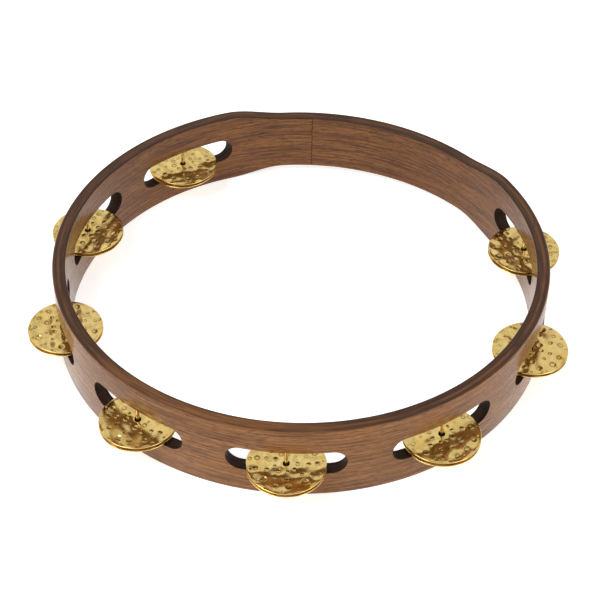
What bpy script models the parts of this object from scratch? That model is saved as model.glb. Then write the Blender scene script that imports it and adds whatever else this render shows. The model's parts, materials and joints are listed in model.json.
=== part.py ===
"""A headless wooden tambourine: a laminated hoop with milled slots, and in each slot a pair
of domed brass jingles that ride loose on a nail driven up from the hoop's lower edge.

Metres, +Z up. The origin is the middle of the hoop, halfway between its two edges. The plain
stretch that the hand holds is on the +Y side. The stations, one to a slot, are numbered
clockwise seen from above, from the one beside the grip on the +X side."""

import math

import bmesh
import bpy

# Hoop
OUTER_RADIUS = 0.127
WALL = 0.0066
DEPTH = 0.0425
EDGE_ROUND = 0.0006
HOOP_SEGMENTS = 120
ROUND_STEPS = 2

# Hand grip: both edges dip towards each other, level in the middle and easing back to full
# depth at each end. The angles are from the grip's middle.
GRIP_MIDDLE = math.radians(90)
GRIP_DIP = 0.0045
GRIP_LEVEL = math.radians(25.7)
GRIP_END = math.radians(40.6)

# Slots, milled straight through, on an even pitch with the places across the grip left out
STATIONS = 8
STATION_PITCH = math.radians(36)
SLOT_LENGTH = 0.057
SLOT_HEIGHT = 0.014
SLOT_END_STEPS = 10

# Nails, one to a slot, their heads just below the lower edge and their points in a blind hole
NAIL_DIAMETER = 0.0017
NAIL_HEAD_DIAMETER = 0.0038
NAIL_HEAD_THICKNESS = 0.0007
NAIL_HEAD_SINK = 0.0003
NAIL_POINT = 0.002
NAIL_BITE = 0.0075
NAIL_FIT = 0.00015
NAIL_SIDES = 12

# Jingles, two to a slot with their hollow sides together
JINGLE_DIAMETER = 0.0381
JINGLE_SHEET = 0.0005
JINGLE_CROWN = 0.0008
JINGLE_HOLE_PLAY = 0.0007
JINGLE_STEPS = 2
JINGLE_SIDES = 32

# Clearances. A lower jingle lies on its slot's floor. An upper one lies on the lower one, but
# hammering has left both rims wavy, so they touch in few places and stand apart elsewhere.
FLOOR_GAP = 0.0002
RIM_GAP = 0.0016

CUTTER_MARGIN = 0.004

WALNUT = ("walnut_stain", (0.16, 0.065, 0.028), 0.42, 0.0)
BRASS = ("hammered_brass", (0.80, 0.60, 0.22), 0.25, 1.0)
STEEL = ("nail_steel", (0.62, 0.56, 0.44), 0.35, 1.0)


def clear_scene():
    for thing in list(bpy.data.objects):
        bpy.data.objects.remove(thing)


def new_material(name, colour, roughness, metallic):
    material = bpy.data.materials.new(name)
    material.use_nodes = True
    shader = material.node_tree.nodes["Principled BSDF"]
    shader.inputs["Base Color"].default_value = (*colour, 1.0)
    shader.inputs["Roughness"].default_value = roughness
    shader.inputs["Metallic"].default_value = metallic
    return material


def finished_mesh(name, bm, material=None):
    """Closes the bmesh off as a mesh with outward faces, smooth except at its corners."""
    bmesh.ops.recalc_face_normals(bm, faces=bm.faces)
    mesh = bpy.data.meshes.new(name)
    bm.to_mesh(mesh)
    bm.free()
    mesh.shade_smooth()
    mesh.set_sharp_from_angle(angle=math.radians(30))
    if material:
        mesh.materials.append(material)
    return mesh


def add_object(name, mesh, parent=None, location=(0, 0, 0), rotation=(0, 0, 0)):
    thing = bpy.data.objects.new(name, mesh)
    bpy.context.scene.collection.objects.link(thing)
    thing.parent = parent
    thing.location = location
    thing.rotation_euler = rotation
    return thing


def turned_mesh(name, profile, sides, material=None, closed=False):
    """Turns (radius, height) points about Z. An open profile starts and ends on the axis."""
    bm = bmesh.new()
    verts = [bm.verts.new((radius, 0, height)) for radius, height in profile]
    edges = [bm.edges.new(pair) for pair in zip(verts, verts[1:])]
    if closed:
        edges.append(bm.edges.new((verts[-1], verts[0])))
    bmesh.ops.spin(
        bm, geom=verts + edges, cent=(0, 0, 0), axis=(0, 0, 1),
        angle=math.tau, steps=sides, use_merge=True,
    )
    bmesh.ops.remove_doubles(bm, verts=bm.verts, dist=1e-6)
    return finished_mesh(name, bm, material)


def eased(share):
    share = min(max(share, 0.0), 1.0)
    return share * share * (3 - 2 * share)


def half_depth(angle):
    """Half the hoop's depth at this angle round it, less over the grip."""
    turn = (angle - GRIP_MIDDLE + math.pi) % math.tau - math.pi
    return DEPTH / 2 - GRIP_DIP * eased((GRIP_END - abs(turn)) / (GRIP_END - GRIP_LEVEL))


def hoop_section(half):
    """The hoop's rounded rectangular section, as (radius, height) points anticlockwise."""
    inner = OUTER_RADIUS - WALL + EDGE_ROUND
    outer = OUTER_RADIUS - EDGE_ROUND
    level = half - EDGE_ROUND
    corners = ((outer, -level, -90), (outer, level, 0), (inner, level, 90), (inner, -level, 180))
    points = []
    for radius, height, start in corners:
        for step in range(ROUND_STEPS + 1):
            angle = math.radians(start + 90 * step / ROUND_STEPS)
            across = radius + EDGE_ROUND * math.cos(angle)
            points.append((across, height + EDGE_ROUND * math.sin(angle)))
    return points


def hoop_blank(material):
    """The bent hoop before its slots are milled."""
    bm = bmesh.new()
    rings = []
    for index in range(HOOP_SEGMENTS):
        angle = math.tau * index / HOOP_SEGMENTS
        along, across = math.cos(angle), math.sin(angle)
        section = hoop_section(half_depth(angle))
        rings.append([bm.verts.new((r * along, r * across, z)) for r, z in section])
    for index, ring in enumerate(rings):
        following = rings[(index + 1) % HOOP_SEGMENTS]
        for corner in range(len(ring)):
            after = (corner + 1) % len(ring)
            bm.faces.new((ring[corner], following[corner], following[after], ring[after]))
    return finished_mesh("hoop", bm, material)


def slot_cutter():
    """A round-ended bar along X, in a station's own frame, longer than the wall is thick."""
    bm = bmesh.new()
    end = SLOT_HEIGHT / 2
    straight = SLOT_LENGTH / 2 - end
    start = -WALL / 2 - CUTTER_MARGIN
    outline = []
    for side, first in ((1, -90), (-1, 90)):
        for step in range(SLOT_END_STEPS + 1):
            angle = math.radians(first + 180 * step / SLOT_END_STEPS)
            along = side * straight + end * math.cos(angle)
            outline.append(bm.verts.new((start, along, end * math.sin(angle))))
    face = bm.faces.new(outline)
    made = bmesh.ops.extrude_face_region(bm, geom=[face])
    moved = [item for item in made["geom"] if isinstance(item, bmesh.types.BMVert)]
    bmesh.ops.translate(bm, verts=moved, vec=(WALL + 2 * CUTTER_MARGIN, 0, 0))
    return finished_mesh("slot_cutter", bm)


def nail_mesh(material):
    """A flat-headed nail standing on its head, on its own axis."""
    shank = NAIL_DIAMETER / 2
    head = NAIL_HEAD_DIAMETER / 2
    foot = -DEPTH / 2 + NAIL_HEAD_SINK
    shoulder = foot + NAIL_HEAD_THICKNESS
    tip = SLOT_HEIGHT / 2 + NAIL_BITE
    profile = [(0, foot), (head, foot), (head, shoulder), (shank, shoulder),
               (shank, tip - NAIL_POINT), (0, tip)]
    return turned_mesh("nail", profile, NAIL_SIDES, material)


def nail_hole_cutter():
    """The nail's hole: a recess for its head, and a bore that ends blind above the slot."""
    bore = NAIL_DIAMETER / 2 + NAIL_FIT
    recess = NAIL_HEAD_DIAMETER / 2 + NAIL_FIT
    mouth = -DEPTH / 2 - CUTTER_MARGIN
    shoulder = -DEPTH / 2 + NAIL_HEAD_SINK + NAIL_HEAD_THICKNESS + NAIL_FIT
    end = SLOT_HEIGHT / 2 + NAIL_BITE + NAIL_FIT
    profile = [(0, mouth), (recess, mouth), (recess, shoulder), (bore, shoulder),
               (bore, end), (0, end)]
    return turned_mesh("nail_hole_cutter", profile, NAIL_SIDES)


def jingle_mesh(material):
    """A domed disc, crown up, with the underside of its rim at height 0."""
    rim = JINGLE_DIAMETER / 2
    hole = NAIL_DIAMETER / 2 + JINGLE_HOLE_PLAY
    radii = [hole + (rim - hole) * step / JINGLE_STEPS for step in range(JINGLE_STEPS + 1)]
    under = [(radius, JINGLE_CROWN * (1 - (radius / rim) ** 2)) for radius in radii]
    upper = [(radius, height + JINGLE_SHEET) for radius, height in reversed(under)]
    return turned_mesh("jingle", under + upper, JINGLE_SIDES, material, closed=True)


def add_cutter(name, mesh, station, collection):
    cutter = add_object(name, mesh, station)
    bpy.context.scene.collection.objects.unlink(cutter)
    collection.objects.link(cutter)
    cutter.hide_render = True
    cutter.display_type = "WIRE"


def add_station(number):
    """An empty on a nail's axis, with X pointing straight out of the hoop."""
    places_across_grip = math.tau / STATION_PITCH - STATIONS
    from_grip = STATION_PITCH * (number - 1 + (places_across_grip + 1) / 2)
    angle = GRIP_MIDDLE - from_grip
    middle = OUTER_RADIUS - WALL / 2
    place = (middle * math.cos(angle), middle * math.sin(angle), 0)
    return add_object(f"station_{number}", None, location=place, rotation=(0, 0, angle))


def main():
    clear_scene()
    walnut, brass, steel = (new_material(*finish) for finish in (WALNUT, BRASS, STEEL))
    hoop = add_object("hoop", hoop_blank(walnut))
    cutters = bpy.data.collections.new("hoop_cutters")
    bpy.context.scene.collection.children.link(cutters)
    slot, hole = slot_cutter(), nail_hole_cutter()
    nail, jingle = nail_mesh(steel), jingle_mesh(brass)
    lower_rim = -SLOT_HEIGHT / 2 + FLOOR_GAP + JINGLE_SHEET + JINGLE_CROWN
    upper_rim = lower_rim + RIM_GAP
    for number in range(1, STATIONS + 1):
        station = add_station(number)
        add_cutter(f"slot_cutter_{number}", slot, station, cutters)
        add_cutter(f"nail_hole_cutter_{number}", hole, station, cutters)
        add_object(f"nail_{number}", nail, station)
        add_object(f"jingle_lower_{number}", jingle, station, (0, 0, lower_rim), (math.pi, 0, 0))
        add_object(f"jingle_upper_{number}", jingle, station, (0, 0, upper_rim))
    milling = hoop.modifiers.new("milling", "BOOLEAN")
    milling.operand_type = "COLLECTION"
    milling.collection = cutters
    milling.operation = "DIFFERENCE"
    milling.solver = "EXACT"


main()
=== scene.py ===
"""The looks of the headless wooden tambourine: a stained, lacquered hoop with milled slots,
hammered brass jingles and the nails that they ride on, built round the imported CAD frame.

Metres, +Z up, in the row frame: the hoop's middle is the origin and its grip is on +Y."""

import json
import math

import bmesh
import bpy
import numpy as np
from mathutils import Matrix, Vector

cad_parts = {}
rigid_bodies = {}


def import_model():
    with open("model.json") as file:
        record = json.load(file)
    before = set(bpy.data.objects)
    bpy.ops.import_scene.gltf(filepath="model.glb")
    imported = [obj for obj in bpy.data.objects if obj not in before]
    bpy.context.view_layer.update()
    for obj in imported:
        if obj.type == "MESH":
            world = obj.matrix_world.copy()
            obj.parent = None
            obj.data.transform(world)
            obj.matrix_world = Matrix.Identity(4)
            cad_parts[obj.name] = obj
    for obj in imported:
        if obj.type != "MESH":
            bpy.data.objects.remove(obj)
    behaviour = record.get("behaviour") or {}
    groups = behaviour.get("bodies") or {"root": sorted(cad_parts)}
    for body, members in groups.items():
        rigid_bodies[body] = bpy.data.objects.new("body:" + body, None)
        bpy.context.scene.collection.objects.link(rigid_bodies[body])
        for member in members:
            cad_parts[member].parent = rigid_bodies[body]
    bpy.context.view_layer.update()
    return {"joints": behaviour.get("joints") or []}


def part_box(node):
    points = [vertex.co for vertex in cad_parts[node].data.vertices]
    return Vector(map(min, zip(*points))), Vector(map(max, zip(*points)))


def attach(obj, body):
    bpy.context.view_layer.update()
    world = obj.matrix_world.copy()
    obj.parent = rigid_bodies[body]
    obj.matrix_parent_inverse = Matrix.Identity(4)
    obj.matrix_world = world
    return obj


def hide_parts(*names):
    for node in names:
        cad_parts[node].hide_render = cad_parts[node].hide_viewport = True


MM = 0.001

# Camera: where the photograph was taken from, as seen from the hoop's middle
CAMERA_AZIMUTH = math.radians(20.7)
CAMERA_ELEVATION = math.radians(41.795)
CAMERA_DISTANCE = 0.87675
CAMERA_ROLL = math.radians(0.726)
CAMERA_LENS = 100.97
CAMERA_SHIFT = (-0.0017, -0.03005)

# Studio: how bright the sky is, and the darker parts of it over the camera and by the horizon
SKY_LEVEL = 0.84
DARK_LEVEL = 0.30
DARK_ELEVATION = math.radians(58)
DARK_REACH = math.radians(50)
HORIZON_LEVEL = 0.45
HORIZON_EDGES = (math.radians(8), math.radians(24))
# The backdrop's folds, from their darkest to their brightest
FOLD_LEVELS = (0.62, 1.12)
# The floor, in metres from the middle each way, and how much white it gives off by itself
FLOOR_REACH = 12
FLOOR_GLOW = 0.65
# Soft lights: azimuth and elevation in degrees, distance and size in metres, and power in watts
SOFTBOXES = {
    "key": (-35, 52, 1.6, 0.9, 12),
    "fill": (75, 35, 1.8, 1.0, 8),
}

# Hoop: what the frame doesn't say
HOOP_SEGMENTS = 720
EDGE_ROUND = 0.6 * MM
EDGE_STEPS = 5
GRIP_MIDDLE = math.radians(90)
GRIP_DIP = 4.5 * MM
GRIP_LEVEL = math.radians(25.7)
GRIP_END = math.radians(40.6)
PLY_SHARE = 0.52
PLY_GROOVE_WIDTH = 0.22 * MM
PLY_GROOVE_DEPTH = 0.07 * MM
INNER_SEAM = math.radians(108.2)
OUTER_SEAM = math.radians(74)
SEAM_WIDTH = 0.4 * MM
SEAM_DEPTH = 0.2 * MM
SEAM_RADIUS = 120 * MM
# The share of a step round the hoop that a seam's middle clears of other points
SEAM_CLEAR = 0.4
# Faces that turn by more than this meet in a sharp edge. Where a slot meets the rest, it is less.
SHARP_TURN = math.radians(38)
SLOT_SHARP_TURN = math.radians(6)
# The edges' stain is worn paler on the side away from the grip, all the way from the second Y on
WORN_RIM = (-102 * MM, -122 * MM)

# Slots
SLOT_LENGTH = 56.8 * MM
SLOT_HEIGHT = 13.7 * MM
SLOT_END_STEPS = 28
SLOT_SIDE_STEPS = 40
SLOT_EDGE_ROUND = 0.4 * MM
SLOT_EDGE_STEPS = 4
SLOT_EDGE_SWEEP = math.radians(68)
SLOT_CLEAR = 0.3 * MM
CUTTER_MARGIN = 4 * MM

# Nails
NAIL_DIAMETER = 1.7 * MM
NAIL_HEAD_THICKNESS = 0.7 * MM
NAIL_HEAD_ROUND = 0.2 * MM
NAIL_POINT = 2.0 * MM
NAIL_FIT = 0.15 * MM
NAIL_SIDES = 40

# Jingles
JINGLE_SHEET = 0.5 * MM
JINGLE_HOLE_PLAY = 0.7 * MM
JINGLE_RINGS = 72
JINGLE_SPOKES = 300
JINGLE_EDGE_STEPS = 5
JINGLE_SEED = 41
# Rings of hammer marks: the ring's share of the jingle's radius, the marks in it, a mark's radius
# and its depth
HAMMER_RINGS = (
    (0.295, 9, 1.30 * MM, 0.26 * MM),
    (0.54, 10, 1.40 * MM, 0.28 * MM),
    (0.785, 13, 1.65 * MM, 0.34 * MM),
    (0.925, 15, 1.05 * MM, 0.20 * MM),
)
# How far marks stray: a whole ring's share of its radius, and a mark's way out and share of the
# pitch round the ring
RING_STRAY = 0.03
MARK_STRAY = 0.45 * MM
PITCH_STRAY = 0.16
RIPPLE_DEPTH = 0.24 * MM
RIPPLE_WAVES = 10
# The shortest and longest ripple, in millimetres
RIPPLE_LENGTHS = (6, 12)
# A mark's raised lip: its share of the mark's depth, and its place and width in mark radii
LIP_SHARE = 0.14
LIP_PLACE = 1.10
LIP_WIDTH = 0.15
# How wide the ring of painted shade inside each mark is, in mark radii
MARK_SHADE_SPREAD = 0.24
# How far in from the rim and out from the hole the hammering reaches its full depth
RIM_FADE = 1.4 * MM
HOLE_FADE = 1.2 * MM
# How far each hole's middle lies off its disc's, towards the camera's side
HOLE_OFFSET = 0.5 * MM
# How far the rim waves up and down, and in how many lobes
WARP_DEPTH = 0.34 * MM
WARP_LOBES = (2, 3, 4, 5)
WARP_POWER = 2.5

# Colours: each face's light, middle and dark grain, each metal's clean and tarnished tones, and
# the floor's two shades of white
OUTER_TONES = ((0.345, 0.144, 0.041), (0.205, 0.077, 0.015), (0.058, 0.017, 0.002))
# The inner face's tones are about three quarters of the outer's: painted shade, standing in for the
# shade inside the ring
INNER_SHADED_TONES = ((0.260, 0.099, 0.023), (0.155, 0.052, 0.008), (0.045, 0.012, 0.002))
POLISHED_TONES = ((0.90, 0.668, 0.255), (0.82, 0.565, 0.160))
# The hollow side is rough, unpolished sheet, and its deeper orange is painted light, standing in
# for light bounced between the discs
UNPOLISHED_BOUNCE_TONES = ((0.90, 0.580, 0.160), (0.80, 0.450, 0.090))
STEEL_TONES = ((0.62, 0.47, 0.25), (0.36, 0.23, 0.10))
PAPER_TONES = ((0.90, 0.90, 0.90), (0.93, 0.93, 0.93))
# Brass: the smoothest and roughest it gets, and how far the painted shade round the hole reaches
POLISHED_ROUGHNESS = (0.17, 0.24)
UNPOLISHED_ROUGHNESS = (0.50, 0.60)
# On the hollow side the painted shade covers most of the face that lies between the two discs
POLISHED_HOLE_SHADE = 2.0 * MM
UNPOLISHED_HOLE_SHADE = 14 * MM


# ---------------------------------------------------------------------------------------------
# Meshes


def add_piece(name, mesh, body, stands_for, place=None):
    """Shows a mesh as a piece that rides on a body and stands for CAD nodes."""
    piece = bpy.data.objects.new(name, mesh)
    bpy.context.scene.collection.objects.link(piece)
    if place:
        piece.matrix_world = place
    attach(piece, body)
    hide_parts(*stands_for)
    return piece


def grid_faces(rings, spokes):
    """Quads of a grid that closes on itself both ways, as indices into rings * spokes points."""
    ring, spoke = np.meshgrid(np.arange(rings), np.arange(spokes), indexing="ij")
    after_ring = (ring + 1) % rings
    after_spoke = (spoke + 1) % spokes
    corners = (
        ring * spokes + spoke,
        ring * spokes + after_spoke,
        after_ring * spokes + after_spoke,
        after_ring * spokes + spoke,
    )
    return np.stack(corners, -1).reshape(-1, 4)


def smooth_mesh(name, points, faces, materials):
    """A smooth-shaded mesh with outward faces."""
    mesh = bpy.data.meshes.new(name)
    mesh.from_pydata([tuple(p) for p in points], [], [tuple(f) for f in faces])
    bm = bmesh.new()
    bm.from_mesh(mesh)
    bmesh.ops.recalc_face_normals(bm, faces=bm.faces)
    bm.to_mesh(mesh)
    bm.free()
    for material in materials:
        mesh.materials.append(material)
    mesh.shade_smooth()
    mesh.set_sharp_from_angle(angle=SHARP_TURN)
    return mesh


def quad_mesh(name, points, quads, materials, kinds):
    """A smooth-shaded mesh straight from arrays whose quads already face outwards, where kinds
    numbers each quad's material."""
    mesh = bpy.data.meshes.new(name)
    mesh.vertices.add(len(points))
    mesh.vertices.foreach_set("co", points.astype(np.float32).ravel())
    mesh.loops.add(quads.size)
    mesh.loops.foreach_set("vertex_index", quads.astype(np.int32).ravel())
    mesh.polygons.add(len(quads))
    mesh.polygons.foreach_set("loop_start", np.arange(0, quads.size, 4, dtype=np.int32))
    for material in materials:
        mesh.materials.append(material)
    mesh.polygons.foreach_set("material_index", kinds.astype(np.int32))
    mesh.update(calc_edges=True)
    mesh.shade_smooth()
    return mesh


def turned_mesh(name, profile, sides, material):
    """Turns (radius, height) points, from axis to axis, about Z."""
    points = [(0, 0, profile[0][1])]
    angles = [math.tau * side / sides for side in range(sides)]
    for radius, height in profile[1:-1]:
        points += [(radius * math.cos(a), radius * math.sin(a), height) for a in angles]
    points.append((0, 0, profile[-1][1]))
    faces = []
    for side in range(sides):
        after = (side + 1) % sides
        faces.append((0, 1 + after, 1 + side))
        for ring in range(len(profile) - 3):
            low, high = 1 + ring * sides, 1 + (ring + 1) * sides
            faces.append((low + side, low + after, high + after, high + side))
        last = len(points) - 1 - sides
        faces.append((last + side, last + after, len(points) - 1))
    return smooth_mesh(name, points, faces, [material])


def arc(centre, radius, start, end, steps):
    """Points on an arc in the (radius, height) plane. Angles in degrees."""
    points = []
    for step in range(steps + 1):
        angle = math.radians(start + (end - start) * step / steps)
        points.append((centre[0] + radius * math.cos(angle), centre[1] + radius * math.sin(angle)))
    return points


# ---------------------------------------------------------------------------------------------
# Hoop


def eased(share):
    share = min(max(share, 0.0), 1.0)
    return share * share * (3 - 2 * share)


def angle_between(angle, other):
    return abs((angle - other + math.pi) % math.tau - math.pi)


def half_depth(angle, full):
    """Half the hoop's depth at this angle round it, less over the grip."""
    turn = angle_between(angle, GRIP_MIDDLE)
    return full - GRIP_DIP * eased((GRIP_END - turn) / (GRIP_END - GRIP_LEVEL))


def seam_dip(angle, seam, radius):
    """How far a seam's fine V groove goes into the wood at this angle."""
    off = angle_between(angle, seam) * radius / (SEAM_WIDTH / 2)
    return SEAM_DEPTH * max(0.0, 1 - off)


def hoop_section(inner, outer, half):
    """(radius, height, zone) anticlockwise, where zone is that of the face after the point."""
    ply = outer - PLY_SHARE * (outer - inner)
    points = []
    corners = (
        (outer - EDGE_ROUND, -1, -90, "rim", "outer"),
        (outer - EDGE_ROUND, 1, 0, "outer", "rim"),
        (inner + EDGE_ROUND, 1, 90, "rim", "inner"),
        (inner + EDGE_ROUND, -1, 180, "inner", "rim"),
    )
    for radius, side, start, before, after in corners:
        centre = (radius, side * (half - EDGE_ROUND))
        for step, (r, z) in enumerate(arc(centre, EDGE_ROUND, start, start + 90, EDGE_STEPS)):
            past = step * 2 > EDGE_STEPS
            points.append((r, z, after if past or step == EDGE_STEPS else before))
        if after == "rim" or start == 180:
            for across, deep in ((0.5, 0), (0, PLY_GROOVE_DEPTH), (-0.5, 0)):
                shift = across * PLY_GROOVE_WIDTH * side
                points.append((ply + shift, side * (half - deep), "rim"))
    return points


def hoop_angles():
    """Even steps round the hoop, with the seams' own edges among them."""
    angles = [math.tau * index / HOOP_SEGMENTS for index in range(HOOP_SEGMENTS)]
    step = math.tau / HOOP_SEGMENTS
    half_width = SEAM_WIDTH / 2 / SEAM_RADIUS
    for seam in (INNER_SEAM, OUTER_SEAM):
        angles = [a for a in angles if angle_between(a, seam) > SEAM_CLEAR * step]
        angles += [seam - half_width, seam, seam + half_width]
    return sorted(angles)


def hoop_blank(inner, outer, half, faces_of):
    """The bent and rounded hoop before its slots are milled, as an object."""
    angles = hoop_angles()
    points = []
    for angle in angles:
        deepest = half_depth(angle, half)
        section = hoop_section(
            inner + seam_dip(angle, INNER_SEAM, inner),
            outer - seam_dip(angle, OUTER_SEAM, outer),
            deepest,
        )
        points += [(r * math.cos(angle), r * math.sin(angle), z) for r, z, zone in section]
    zones = [zone for r, z, zone in section]
    faces = grid_faces(len(angles), len(zones))
    mesh = smooth_mesh("hoop_blank", points, faces, faces_of.values())
    order = list(faces_of)
    numbers = [order.index(zone) for zone in zones] * len(angles)
    mesh.polygons.foreach_set("material_index", numbers)
    blank = bpy.data.objects.new("hoop_blank", mesh)
    bpy.context.scene.collection.objects.link(blank)
    return blank


def slot_outline(grow):
    """(along, up) points of a round-ended slot, anticlockwise, grown outwards by grow."""
    end = SLOT_HEIGHT / 2
    straight = SLOT_LENGTH / 2 - end
    points = []
    for side, first in ((1, -90), (-1, 90)):
        for step in range(SLOT_END_STEPS + 1):
            angle = math.radians(first + 180 * step / SLOT_END_STEPS)
            along = side * straight + (end + grow) * math.cos(angle)
            points.append((along, (end + grow) * math.sin(angle)))
        for step in range(1, SLOT_SIDE_STEPS):
            along = side * straight * (1 - 2 * step / SLOT_SIDE_STEPS)
            points.append((along, side * (end + grow)))
    return points


def slot_cutter(inner, outer, material):
    """A slot's cutter in its station's frame, X outwards. Its sides flare where they leave the
    wood, so the slot's edges come out rounded."""
    flare = []
    for step in range(SLOT_EDGE_STEPS + 1):
        sweep = SLOT_EDGE_SWEEP * step / SLOT_EDGE_STEPS
        into = SLOT_EDGE_ROUND * (1 - math.sin(sweep))
        flare.append((into, SLOT_EDGE_ROUND * (1 - math.cos(sweep))))
    last_into, last_grow = flare[-1]
    last_slope = math.tan(SLOT_EDGE_SWEEP)
    flare.append((-SLOT_CLEAR, last_grow + last_slope * (last_into + SLOT_CLEAR)))
    layers = [(inner, into, grow) for into, grow in reversed(flare)]
    layers += [(outer, -into, grow) for into, grow in flare]
    points = []
    for radius, into, grow in layers:
        for along, up in slot_outline(grow):
            across = math.sqrt(radius * radius - along * along) + into
            points.append((across, along, up))
    count = len(points) // len(layers)
    faces = []
    for layer in range(len(layers) - 1):
        for index in range(count):
            after = (index + 1) % count
            low, high = layer * count, (layer + 1) * count
            faces.append((low + index, low + after, high + after, high + index))
    for first in (0, (len(layers) - 1) * count):
        for index in range(SLOT_END_STEPS // 2, (SLOT_END_STEPS + count) // 2):
            opposite = SLOT_END_STEPS - index
            corners = (index, index + 1, opposite - 1, opposite)
            faces.append(tuple(dict.fromkeys(first + corner % count for corner in corners)))
    return smooth_mesh("slot_cutter", points, faces, [material])


def nail_hole_cutter(low, foot, tip, head, material):
    """A nail's hole: the recess for its head, and a bore that ends blind above the slot."""
    bore = NAIL_DIAMETER / 2 + NAIL_FIT
    recess = head + NAIL_FIT
    shoulder = foot + NAIL_HEAD_THICKNESS + NAIL_FIT
    mouth = low - CUTTER_MARGIN
    profile = [(0, mouth), (recess, mouth), (recess, shoulder), (bore, shoulder),
               (bore, tip + NAIL_FIT), (0, tip + NAIL_FIT)]
    return turned_mesh("nail_hole_cutter", profile, NAIL_SIDES, material)


def milled(blank, cutters):
    """The blank's mesh after the cutters have gone through it, with crisp edges where they did."""
    collection = bpy.data.collections.new("hoop_cutters")
    bpy.context.scene.collection.children.link(collection)
    for mesh, place in cutters:
        cutter = bpy.data.objects.new("cutter", mesh)
        cutter.matrix_world = place
        collection.objects.link(cutter)
    milling = blank.modifiers.new("milling", "BOOLEAN")
    milling.operand_type = "COLLECTION"
    milling.collection = collection
    milling.operation = "DIFFERENCE"
    milling.solver = "EXACT"
    milling.material_mode = "TRANSFER"
    graph = bpy.context.evaluated_depsgraph_get()
    mesh = bpy.data.meshes.new_from_object(blank.evaluated_get(graph))
    for cutter in list(collection.objects):
        bpy.data.objects.remove(cutter)
    bpy.data.collections.remove(collection)
    bpy.data.objects.remove(blank)
    bm = bmesh.new()
    bm.from_mesh(mesh)
    slot = [material.name for material in mesh.materials].index("slot_walnut")
    for edge in bm.edges:
        kinds = {face.material_index == slot for face in edge.link_faces}
        limit = SHARP_TURN if len(kinds) == 1 else SLOT_SHARP_TURN
        edge.smooth = edge.calc_face_angle(0) < limit
    for face in bm.faces:
        face.smooth = True
    bm.to_mesh(mesh)
    bm.free()
    return mesh


# ---------------------------------------------------------------------------------------------
# Jingles and nails


def hammer_marks(random, rim):
    """Each hammer mark as (x, y, radius, depth), in loose rings that no two jingles share."""
    marks = []
    for share, count, radius, depth in HAMMER_RINGS:
        first = random.uniform(0, math.tau)
        ring = rim * share * random.uniform(1 - RING_STRAY, 1 + RING_STRAY)
        for index in range(count):
            place = index + random.uniform(-PITCH_STRAY, PITCH_STRAY)
            angle = first + math.tau * place / count
            out = min(ring + random.uniform(-MARK_STRAY, MARK_STRAY), rim - 1.2 * radius)
            size = radius * random.uniform(0.72, 1.18)
            deep = depth * random.uniform(0.7, 1.2) * size / radius
            marks.append((out * math.cos(angle), out * math.sin(angle), size, deep))
    return marks


def hammered(random, x, y, rim):
    """How far the sheet is pushed up or down at (x, y) by its hammering, and how much painted shade
    each mark puts there, from 0 to 1."""
    height = np.zeros_like(x)
    painted_shade = np.zeros_like(x)
    ripple = RIPPLE_DEPTH / math.sqrt(RIPPLE_WAVES)
    for wave in range(RIPPLE_WAVES):
        heading = random.uniform(0, math.tau)
        length = random.uniform(*RIPPLE_LENGTHS) * MM
        phase = random.uniform(0, math.tau)
        along = x * math.cos(heading) + y * math.sin(heading)
        height += ripple * np.sin(math.tau * along / length + phase)
    for mark_x, mark_y, radius, depth in hammer_marks(random, rim):
        off = np.hypot(x - mark_x, y - mark_y) / radius
        bowl = np.clip(1 - off ** 2, 0, 1) ** 1.05
        lip = np.exp(-((off - LIP_PLACE) / LIP_WIDTH) ** 2)
        height += depth * (LIP_SHARE * lip - bowl)
        # Painted shade: a dark ring inside each mark, at a random share of its radius
        ring = random.uniform(0.25, 0.85)
        ring_shade = random.uniform(0.35, 1.0) * np.exp(-((off - ring) / MARK_SHADE_SPREAD) ** 2)
        painted_shade = np.maximum(painted_shade, ring_shade)
    return height, painted_shade


def warp(random, angles):
    """How far the rim stands up or down at these angles, at most WARP_DEPTH in all."""
    height = np.zeros_like(angles)
    for lobes in WARP_LOBES:
        size = random.uniform(0.4, 1) / lobes
        phase = random.uniform(0, math.tau)
        height += size * np.cos(lobes * angles + phase)
    return WARP_DEPTH * height / np.abs(height).max()


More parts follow.
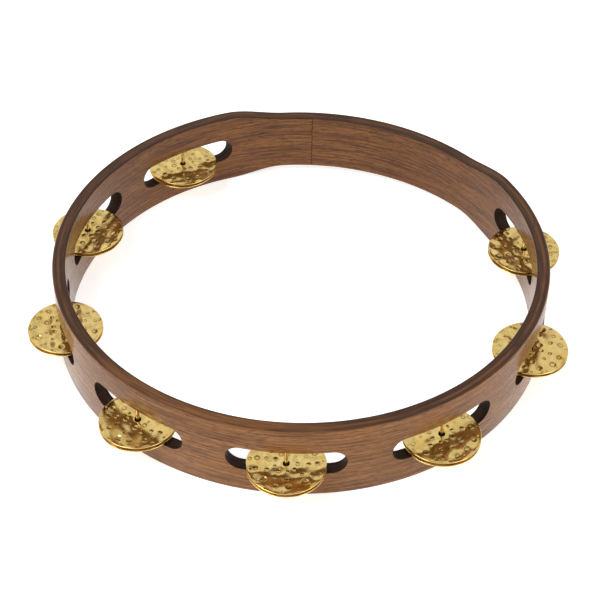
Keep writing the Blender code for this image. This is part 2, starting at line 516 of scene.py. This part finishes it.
def jingle_mesh(name, seed, rim, crown, hole_heading, materials):
    """A hammered, domed disc with a hole, crown up, its underside's rim at height 0."""
    random = np.random.default_rng(seed)
    hole = NAIL_DIAMETER / 2 + JINGLE_HOLE_PLAY
    bevel = JINGLE_SHEET / 2
    flat = np.linspace(hole + bevel, rim - bevel, JINGLE_RINGS)
    turn = np.linspace(math.pi / 2, -math.pi / 2, JINGLE_EDGE_STEPS + 2)[1:-1]
    radii = np.concatenate([
        flat, rim - bevel + bevel * np.cos(turn),
        flat[::-1], hole + bevel - bevel * np.cos(turn),
    ])
    lifts = np.concatenate([
        np.full(JINGLE_RINGS, bevel), bevel * np.sin(turn),
        np.full(JINGLE_RINGS, -bevel), -bevel * np.sin(turn),
    ])
    angles = np.arange(JINGLE_SPOKES) * math.tau / JINGLE_SPOKES
    slip = (HOLE_OFFSET * np.clip((rim - radii) / (rim - hole), 0, 1))[:, None]
    x = np.outer(radii, np.cos(angles)) + slip * math.cos(hole_heading)
    y = np.outer(radii, np.sin(angles)) + slip * math.sin(hole_heading)
    fade = np.clip((rim - radii) / RIM_FADE, 0, 1) * np.clip((radii - hole) / HOLE_FADE, 0, 1)
    relief, painted_shade = hammered(random, x, y, rim)
    relief *= fade[:, None]
    relief += np.outer((radii / rim) ** WARP_POWER, warp(random, angles))
    inwards = (1 - (radii / rim) ** 2)[:, None]
    z = crown * inwards + (bevel + lifts)[:, None] + relief
    # The dome sinks until nothing within 0.9 of its radius stands higher than the CAD disc's crown
    middle = radii < 0.9 * rim
    too_high = (z[middle] - crown - JINGLE_SHEET) / inwards[middle]
    z -= max(too_high.max(), 0) * inwards
    points = np.stack([x, y, z], -1).reshape(-1, 3)
    outwards = grid_faces(len(radii), JINGLE_SPOKES)[:, ::-1]
    hollow_middle = 1.5 * JINGLE_RINGS + JINGLE_EDGE_STEPS
    hollow_side = np.abs(np.arange(len(radii)) - hollow_middle) < JINGLE_RINGS / 2
    kinds = np.repeat(hollow_side, JINGLE_SPOKES)
    mesh = quad_mesh(name, points, outwards, materials, kinds)
    # Each point keeps the painted shade of its hammer marks, for the brass material to read
    mesh.attributes.new("painted_shade", "FLOAT", "POINT").data.foreach_set("value", painted_shade.ravel())
    return mesh


def nail_mesh(name, foot, tip, head, material):
    """A flat-headed nail, standing on its head from foot to tip. head is its head's radius."""
    shank = NAIL_DIAMETER / 2
    edge = NAIL_HEAD_ROUND
    shoulder = foot + NAIL_HEAD_THICKNESS
    profile = [(0, foot), (head * 0.5, foot + 0.01 * MM)]
    profile += arc((head - edge, foot + edge), edge, -90, 0, 4)
    profile += arc((head - edge, shoulder - edge), edge, 0, 90, 4)
    profile += [(shank + 0.1 * MM, shoulder), (shank, shoulder + 0.1 * MM)]
    profile += [(shank, tip - NAIL_POINT), (shank * 0.93, tip - NAIL_POINT * 0.8)]
    profile += [(shank * 0.12, tip - 0.04 * MM), (0, tip)]
    return turned_mesh(name, profile, NAIL_SIDES, material)


# ---------------------------------------------------------------------------------------------
# Materials


class Shader:
    """A short way to write a material or a sky: add() makes a node, then sets and joins its
    inputs. surface is the node that every other one leads to."""

    def __init__(self, owner, surface="Principled BSDF"):
        owner.use_nodes = True
        self.owner = owner
        self.tree = owner.node_tree
        self.surface = self.tree.nodes[surface]

    def add(self, kind, inputs, **fields):
        made = self.tree.nodes.new("ShaderNode" + kind)
        for field, value in fields.items():
            setattr(made, field, value)
        self.fill(made, inputs)
        return made

    def fill(self, node, inputs):
        for key, value in inputs.items():
            if isinstance(value, bpy.types.NodeSocket):
                self.tree.links.new(value, node.inputs[key])
            else:
                node.inputs[key].default_value = value

    def maths(self, operation, first, second=0.0):
        made = self.add("Math", {0: first, 1: second}, operation=operation)
        return made.outputs[0]

    def remap(self, value, low, high, to_low=0.0, to_high=1.0):
        """value from low..high to to_low..to_high, eased at both ends."""
        inputs = {
            "Value": value, "From Min": low, "From Max": high, "To Min": to_low, "To Max": to_high,
        }
        made = self.add("MapRange", inputs, interpolation_type="SMOOTHSTEP")
        return made.outputs["Result"]

    def noise(self, vector, scale, detail=3.0, roughness=0.55, distortion=0.0):
        made = self.add("TexNoise", {
            "Vector": vector, "Scale": scale, "Detail": detail,
            "Roughness": roughness, "Distortion": distortion,
        })
        return made.outputs["Fac"]

    def mixed(self, share, first, second, blend="MIX"):
        """first at share 0 and second at share 1, as colours."""
        made = self.add("Mix", {}, data_type="RGBA", blend_type=blend)
        self.fill(made, {0: share, 6: first, 7: second})
        return made.outputs[2]

    def bump(self, height, distance, strength=1.0):
        made = self.add("Bump", {"Height": height, "Distance": distance, "Strength": strength})
        return made.outputs["Normal"]


def colour(red, green, blue):
    return (red, green, blue, 1.0)


def along_the_hoop(shader, seam, radius):
    """(arc length, height, radius) of a point, with the arc's two ends meeting at the seam."""
    place = shader.add("TexCoord", {}).outputs["Object"]
    turned = shader.add(
        "VectorRotate", {"Vector": place, "Angle": math.pi - seam}, rotation_type="Z_AXIS"
    ).outputs["Vector"]
    parts = shader.add("SeparateXYZ", {"Vector": turned}).outputs
    angle = shader.maths("ARCTAN2", parts["Y"], parts["X"])
    out = shader.maths("SQRT", shader.maths(
        "ADD", shader.maths("MULTIPLY", parts["X"], parts["X"]),
        shader.maths("MULTIPLY", parts["Y"], parts["Y"]),
    ))
    return shader.maths("MULTIPLY", angle, radius), parts["Z"], out


def stretched(shader, along, up, out, scales):
    """A texture vector from the hoop's own directions, each scaled by itself."""
    parts = [shader.maths("MULTIPLY", part, scale) for part, scale in zip((along, up, out), scales)]
    return shader.add("CombineXYZ", dict(zip("XYZ", parts))).outputs["Vector"]


def walnut_faces(name, seam, radius, tones):
    """Stained veneer under satin lacquer, its grain running round the hoop."""
    shader = Shader(bpy.data.materials.new(name))
    light, middle, dark = (colour(*tone) for tone in tones)
    along, up, out = along_the_hoop(shader, seam, radius)
    figure = shader.noise(stretched(shader, along, up, out, (13, 210, 60)), 1.0, 4, 0.6, 0.5)
    lines = shader.noise(stretched(shader, along, up, out, (32, 1500, 300)), 1.0, 5, 0.65, 0.2)
    pores = shader.noise(stretched(shader, along, up, out, (230, 2500, 900)), 1.0, 3, 0.6)
    cloud = shader.noise(stretched(shader, along, up, out, (22, 34, 40)), 1.0, 3, 0.5)
    tone = shader.mixed(shader.remap(figure, 0.36, 0.64), middle, light)
    tone = shader.mixed(shader.remap(lines, 0.54, 0.38, 0.0, 0.9), tone, dark)
    tone = shader.mixed(shader.remap(lines, 0.50, 0.64, 0.0, 0.9), tone, light)
    tone = shader.mixed(shader.remap(pores, 0.50, 0.34, 0.0, 0.9), tone, dark)
    tone = shader.mixed(shader.remap(cloud, 0.35, 0.70, 0.0, 0.35), tone, middle)
    from_seam = shader.maths("SUBTRACT", math.pi * radius, shader.maths("ABSOLUTE", along))
    tone = shader.mixed(shader.remap(from_seam, 0.40 * MM, 0.15 * MM, 0.0, 0.5), tone, dark)
    lined = shader.maths("MULTIPLY", lines, 0.8)
    relief = shader.maths("ADD", shader.remap(pores, 0.29, 0.44), lined)
    shader.fill(shader.surface, {
        "Base Color": tone,
        "Roughness": shader.remap(lines, 0.3, 0.7, 0.15, 0.23),
        "Normal": shader.bump(relief, 0.03 * MM, 0.8),
        "Specular IOR Level": 0.26,
    })
    return shader.owner


def walnut_rim(name, inner, outer):
    """The hoop's edge: dark-stained ply ends, redder along the glue line between them, with a
    painted highlight in russet along the outer corner.
    """
    shader = Shader(bpy.data.materials.new(name))
    along, up, out = along_the_hoop(shader, INNER_SEAM, (inner + outer) / 2)
    wander = shader.noise(stretched(shader, along, up, out, (35, 60, 60)), 1.0, 3, 0.5)
    wander = shader.maths("MULTIPLY", shader.maths("SUBTRACT", wander, 0.5), 1.2 * MM)
    depth = shader.maths("ADD", shader.maths("SUBTRACT", out, inner), wander)
    share = shader.maths("DIVIDE", depth, outer - inner)
    streaks = shader.noise(stretched(shader, along, up, out, (60, 900, 1900)), 1.0, 4, 0.6)
    patches = shader.noise(stretched(shader, along, up, out, (28, 60, 130)), 1.0, 3, 0.6)
    centred = shader.add("TexCoord", {}).outputs["Object"]
    place = shader.add("SeparateXYZ", {"Vector": centred}).outputs
    espresso = colour(0.040, 0.0150, 0.0055)
    umber = colour(0.100, 0.039, 0.0125)
    russet = colour(0.150, 0.058, 0.018)
    chestnut = colour(0.235, 0.088, 0.021)
    worn = shader.mixed(shader.remap(streaks, 0.34, 0.58), umber, chestnut)
    worn = shader.mixed(shader.remap(patches, 0.60, 0.38, 0.0, 0.7), worn, umber)
    stained = shader.mixed(shader.remap(streaks, 0.38, 0.70), espresso, umber)
    off_ply = shader.maths("ABSOLUTE", shader.maths("SUBTRACT", share, 1.08 - PLY_SHARE))
    near_ply = shader.remap(off_ply, 0.16, 0.04)
    ply = shader.maths("MULTIPLY", near_ply, shader.remap(patches, 0.36, 0.58))
    stained = shader.mixed(ply, stained, russet)
    # Painted highlight: a russet line along the outer corner, on the stained part of the rim
    stained = shader.mixed(shader.remap(share, 0.88, 0.97), stained, russet)
    front = shader.remap(place["Y"], *WORN_RIM)
    tone = shader.mixed(front, stained, worn)
    tone = shader.mixed(shader.remap(share, 0.20, 0.07), tone, espresso)
    off_corner = shader.maths("ABSOLUTE", shader.maths("SUBTRACT", share, 0.86))
    near_corner = shader.remap(off_corner, 0.08, 0.03)
    crack = shader.maths("MULTIPLY", near_corner, shader.remap(streaks, 0.6, 0.4))
    tone = shader.mixed(crack, tone, espresso)
    shader.fill(shader.surface, {
        "Base Color": tone,
        "Roughness": shader.remap(streaks, 0.3, 0.7, 0.42, 0.34),
        "Normal": shader.bump(streaks, 0.05 * MM, 0.7),
        "Specular IOR Level": 0.28,
    })
    return shader.owner


def walnut_slot(name, inner, outer):
    """The slots' milled walls: end grain that has drunk the stain nearly black, with painted light
    on the slots' ceilings overhead.
    """
    shader = Shader(bpy.data.materials.new(name))
    along, up, out = along_the_hoop(shader, INNER_SEAM, (inner + outer) / 2)
    plies = shader.noise(stretched(shader, along, up, out, (40, 60, 1500)), 1.0, 3, 0.5)
    grain = shader.noise(stretched(shader, along, up, out, (900, 1500, 1500)), 1.0, 4, 0.65)
    tone = shader.mixed(
        shader.remap(plies, 0.35, 0.7), colour(0.012, 0.0035, 0.0010), colour(0.040, 0.0150, 0.0055)
    )
    # Painted light: the slots' ceilings are lighter, standing in for light thrown up onto them by
    # the brass below.
    tone = shader.mixed(shader.remap(up, 4.0 * MM, 6.5 * MM), tone, colour(0.170, 0.080, 0.030))
    shader.fill(shader.surface, {
        "Base Color": tone,
        "Roughness": shader.remap(grain, 0.3, 0.7, 0.55, 0.72),
        "Normal": shader.bump(grain, 0.08 * MM, 0.8),
        "Specular IOR Level": 0.2,
    })
    return shader.owner


def hammered_brass(name, tones, roughness, hole_shade_radius):
    """Brass with faint turning lines and a little tarnish, its roughness between two values,
    painted shade round the hole, and painted shade in rings inside the hammer marks."""
    shader = Shader(bpy.data.materials.new(name))
    clean, tarnished = (colour(*tone) for tone in tones)
    place = shader.add("TexCoord", {}).outputs["Object"]
    home = shader.add("ObjectInfo", {}).outputs["Location"]
    spot = shader.add("VectorMath", {0: place, 1: home}, operation="ADD").outputs["Vector"]
    parts = shader.add("SeparateXYZ", {"Vector": place}).outputs
    radius = shader.maths("SQRT", shader.maths(
        "ADD", shader.maths("MULTIPLY", parts["X"], parts["X"]),
        shader.maths("MULTIPLY", parts["Y"], parts["Y"]),
    ))
    turning = shader.noise(
        shader.add("CombineXYZ", {"X": radius}).outputs["Vector"], 2600.0, 3, 0.7
    )
    tarnish = shader.noise(spot, 170.0, 4, 0.6)
    scuffs = shader.noise(spot, 1500.0, 3, 0.6)
    tone = shader.mixed(shader.remap(tarnish, 0.35, 0.75), clean, tarnished)
    # Painted shade: near black round the hole, standing in for the shade between the discs that
    # shows through it.
    painted_shade = shader.remap(radius, hole_shade_radius, hole_shade_radius * 0.6)
    tone = shader.mixed(painted_shade, tone, colour(0.060, 0.030, 0.008))
    # Painted shade: the ring in each hammer mark turns brown, more so where the tarnish is
    shade_in_marks = shader.add("Attribute", {}, attribute_name="painted_shade").outputs["Fac"]
    shade_in_marks = shader.maths("MULTIPLY", shade_in_marks, shader.remap(tarnish, 0.25, 0.6, 0.55, 1.0))
    tone = shader.mixed(shade_in_marks, tone, colour(0.230, 0.115, 0.022))
    relief = shader.maths("ADD", shader.maths("MULTIPLY", turning, 0.5), scuffs)
    shader.fill(shader.surface, {
        "Base Color": tone,
        "Metallic": 1.0,
        "Roughness": shader.remap(scuffs, 0.3, 0.7, *roughness),
        "Normal": shader.bump(relief, 0.002 * MM, 0.4),
    })
    return shader.owner


def nail_steel(name):
    """Brass-washed steel wire, drawn along its length."""
    shader = Shader(bpy.data.materials.new(name))
    place = shader.add("TexCoord", {}).outputs["Object"]
    long_scale = shader.add("VectorMath", {0: place, 1: (1, 1, 0.04)}, operation="MULTIPLY")
    drawn = shader.noise(long_scale.outputs["Vector"], 3000.0, 3, 0.6)
    spots = shader.noise(place, 700.0, 3, 0.6)
    bright, spotted = (colour(*tone) for tone in STEEL_TONES)
    tone = shader.mixed(shader.remap(spots, 0.4, 0.75), bright, spotted)
    shader.fill(shader.surface, {
        "Base Color": tone,
        "Metallic": 1.0,
        "Roughness": shader.remap(drawn, 0.3, 0.7, 0.28, 0.42),
        "Normal": shader.bump(drawn, 0.01 * MM, 0.6),
    })
    return shader.owner


def studio_floor(name):
    """White paper, all but even."""
    shader = Shader(bpy.data.materials.new(name))
    place = shader.add("TexCoord", {}).outputs["Object"]
    cloud = shader.noise(place, 3.0, 2, 0.5)
    tone = shader.mixed(cloud, *(colour(*shade) for shade in PAPER_TONES))
    shader.fill(shader.surface, {
        "Base Color": tone,
        "Roughness": 0.9,
        "Specular IOR Level": 0.1,
        "Emission Color": tone,
        "Emission Strength": FLOOR_GLOW,
    })
    return shader.owner


# ---------------------------------------------------------------------------------------------
# Studio


def direction(azimuth, elevation):
    """The unit vector from the hoop's middle that way. Azimuth 0 is -Y, and it grows towards +X."""
    level = math.cos(elevation)
    return Vector((math.sin(azimuth) * level, -math.cos(azimuth) * level, math.sin(elevation)))


def add_camera():
    """The photograph's camera: round the hoop's middle, rolled and shifted a little."""
    back = direction(CAMERA_AZIMUTH, CAMERA_ELEVATION)
    data = bpy.data.cameras.new("camera")
    data.lens = CAMERA_LENS
    data.shift_x, data.shift_y = CAMERA_SHIFT
    data.clip_start = 0.01
    data.clip_end = 50
    camera = bpy.data.objects.new("camera", data)
    bpy.context.scene.collection.objects.link(camera)
    roll = Matrix.Rotation(CAMERA_ROLL, 4, "Z").to_quaternion()
    camera.rotation_mode = "QUATERNION"
    camera.rotation_quaternion = (-back).to_track_quat("-Z", "Y") @ roll
    camera.location = back * CAMERA_DISTANCE
    bpy.context.scene.camera = camera


def add_floor(height):
    reach = FLOOR_REACH
    corners = [(-reach, -reach, 0), (reach, -reach, 0), (reach, reach, 0), (-reach, reach, 0)]
    mesh = bpy.data.meshes.new("floor")
    mesh.from_pydata(corners, [], [(0, 1, 2, 3)])
    mesh.materials.append(studio_floor("studio_floor"))
    floor = bpy.data.objects.new("floor", mesh)
    floor.location = (0, 0, height)
    bpy.context.scene.collection.objects.link(floor)


def add_sky():
    """A white studio, darker towards the horizon and above the camera. The camera itself sees
    plain white."""
    shader = Shader(bpy.data.worlds.new("studio"), "Background")
    heading = shader.add("TexCoord", {}).outputs["Generated"]
    over_camera = shader.add(
        "VectorMath", {0: heading, 1: direction(CAMERA_AZIMUTH, DARK_ELEVATION)},
        operation="DOT_PRODUCT",
    ).outputs["Value"]
    overhead = shader.remap(
        over_camera, math.cos(DARK_REACH), math.cos(DARK_REACH * 0.6), SKY_LEVEL, DARK_LEVEL
    )
    height = shader.add("SeparateXYZ", {"Vector": heading}).outputs["Z"]
    horizon = shader.remap(height, *(math.sin(edge) for edge in HORIZON_EDGES), HORIZON_LEVEL, 1.0)
    level = shader.maths("MULTIPLY", overhead, horizon)
    folds = shader.remap(shader.noise(heading, 3.2, 2, 0.5), 0.42, 0.60, *FOLD_LEVELS)
    strength = shader.maths("MULTIPLY", level, folds)
    backdrop = shader.add("LightPath", {}).outputs["Is Camera Ray"]
    shader.fill(shader.surface, {
        "Color": colour(1, 1, 1), "Strength": shader.maths("MAXIMUM", strength, backdrop),
    })
    bpy.context.scene.world = shader.owner


def add_softbox(name, azimuth, elevation, distance, size, power):
    """A soft area light that faces the hoop. Angles in degrees."""
    back = direction(math.radians(azimuth), math.radians(elevation))
    data = bpy.data.lights.new(name, "AREA")
    data.shape = "DISK"
    data.size = size
    data.energy = power
    light = bpy.data.objects.new(name, data)
    light.location = back * distance
    light.rotation_mode = "QUATERNION"
    light.rotation_quaternion = (-back).to_track_quat("-Z", "Y")
    bpy.context.scene.collection.objects.link(light)


# ---------------------------------------------------------------------------------------------


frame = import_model()
add_camera()

hoop_low, hoop_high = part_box("hoop")
hoop_half = (hoop_high.z - hoop_low.z) / 2
outer_radius = hoop_high.x
stations = [Vector(joint["pos_m"]) for joint in frame["joints"] if joint["type"] == "hinge"]
axis_radius = stations[0].xy.length
inner_radius = outer_radius - 2 * (outer_radius - axis_radius)

nail_low, nail_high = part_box("nail_1")
nail_head = (nail_high - nail_low).xy.length / 2 / math.sqrt(2)

faces_of = {
    "outer": walnut_faces("outer_walnut", OUTER_SEAM, outer_radius, OUTER_TONES),
    "inner": walnut_faces("inner_walnut", INNER_SEAM, inner_radius, INNER_SHADED_TONES),
    "rim": walnut_rim("rim_walnut", inner_radius, outer_radius),
    "slot": walnut_slot("slot_walnut", inner_radius, outer_radius),
}
brasses = (
    hammered_brass("hammered_brass", POLISHED_TONES, POLISHED_ROUGHNESS, POLISHED_HOLE_SHADE),
    hammered_brass("unpolished_brass", UNPOLISHED_BOUNCE_TONES, UNPOLISHED_ROUGHNESS, UNPOLISHED_HOLE_SHADE),
)
steel = nail_steel("nail_steel")

slot_mesh = slot_cutter(inner_radius, outer_radius, faces_of["slot"])
hole_mesh = nail_hole_cutter(
    hoop_low.z, nail_low.z, nail_high.z, nail_head, faces_of["slot"]
)
cutters = []
for station in stations:
    bearing = Matrix.Rotation(math.atan2(station.y, station.x), 4, "Z")
    cutters.append((slot_mesh, bearing))
    cutters.append((hole_mesh, Matrix.Translation((station.x, station.y, 0))))
hoop_mesh = milled(hoop_blank(inner_radius, outer_radius, hoop_half, faces_of), cutters)
add_piece("hoop_walnut", hoop_mesh, "hoop", ["hoop"])

camera_side = CAMERA_AZIMUTH - math.pi / 2
for number, station in enumerate(stations, 1):
    mesh = nail_mesh(f"nail_steel_{number}", nail_low.z, nail_high.z, nail_head, steel)
    place = Matrix.Translation((station.x, station.y, 0))
    add_piece(f"nail_steel_{number}", mesh, "hoop", [f"nail_{number}"], place)
    # A lower jingle is an upper one turned over, which mirrors the heading of its hole
    for layer, turned, seed_step, side in (("upper", 0.0, 0, 1), ("lower", math.pi, 1, -1)):
        node = f"jingle_{layer}_{number}"
        name = f"brass_{layer}_{number}"
        low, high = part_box(node)
        radius = (high.y - low.y) / 2
        crown = high.z - low.z - JINGLE_SHEET
        rim_level = high.z if turned else low.z
        seed = JINGLE_SEED + 2 * number + seed_step
        mesh = jingle_mesh(name, seed, radius, crown, side * camera_side, brasses)
        place = Matrix.Translation((station.x, station.y, rim_level))
        place = place @ Matrix.Rotation(turned, 4, "X")
        add_piece(name, mesh, node, [node], place)

add_floor(hoop_low.z)
add_sky()
for softbox, setting in SOFTBOXES.items():
    add_softbox(softbox, *setting)
bpy.context.scene.view_settings.view_transform = "Standard"
